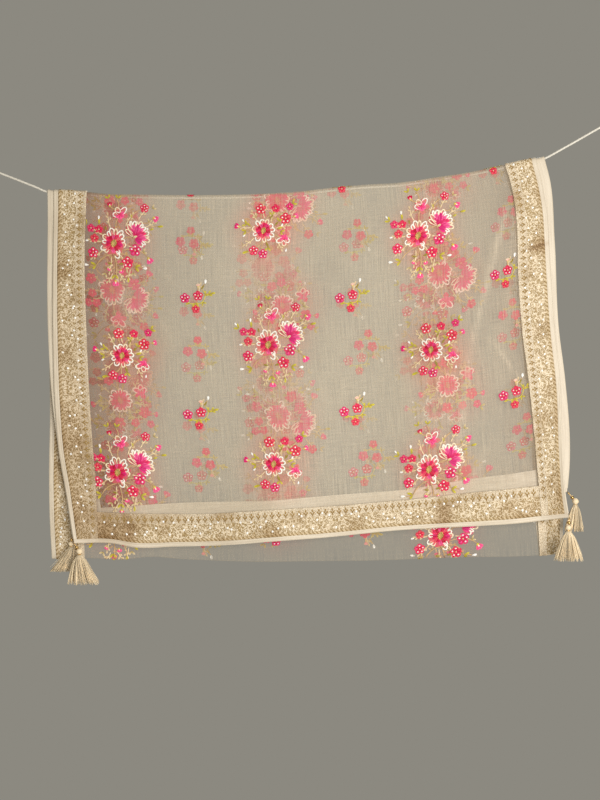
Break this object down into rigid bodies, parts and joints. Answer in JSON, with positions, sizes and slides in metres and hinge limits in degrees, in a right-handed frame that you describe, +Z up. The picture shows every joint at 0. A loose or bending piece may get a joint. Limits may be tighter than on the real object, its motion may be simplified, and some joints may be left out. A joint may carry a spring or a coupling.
{
  "type": "dupatta stole hung over a line",
  "caption": "Sheer net dupatta with floral thread work, gold lace borders and corner tassels, folded double and hung flat over a thin line.",
  "frame": {"origin": "on the axis of the line that holds the cloth, at the middle of the cloth", "axes": "+X to the viewer's right along the line, -Y the front that faces the viewer, +Z up"},
  "size_m": [1.1766, 0.0693, 0.8285],
  "materials": {
    "net": "sheer champagne net with floral thread work",
    "satin": "soft cream satin",
    "lace": "gold thread and sequins on net",
    "silk": "beige silk floss",
    "bead": "gold-coloured bead and thread",
    "line": "white twisted cord"
  },
  "bodies": {
    "root": {"net_front": "net", "satin_left_front": "satin", "lace_left_front": "lace", "satin_right_front": "satin", "lace_right_front": "lace", "satin_end_front": "satin", "lace_end_front": "lace", "net_front_under": "net", "satin_left_front_under": "satin", "lace_left_front_under": "lace", "satin_right_front_under": "satin", "lace_right_front_under": "lace", "satin_end_front_under": "satin", "lace_end_front_under": "lace", "net_back_under": "net", "satin_left_back_under": "satin", "lace_left_back_under": "lace", "satin_right_back_under": "satin", "lace_right_back_under": "lace", "net_back": "net", "satin_left_back": "satin", "lace_left_back": "lace", "satin_right_back": "satin", "lace_right_back": "lace", "tassel_left_under": "silk", "bead_left_under": "bead", "tassel_left_front": "silk", "bead_left_front": "bead", "tassel_right_front": "silk", "bead_right_front": "bead", "tassel_right_under": "silk", "bead_right_under": "bead", "line": "line", "line_knot_left": "line", "line_knot_right": "line", "line_loop_left": "line", "line_loop_right": "line"}
  },
  "joints": []
}
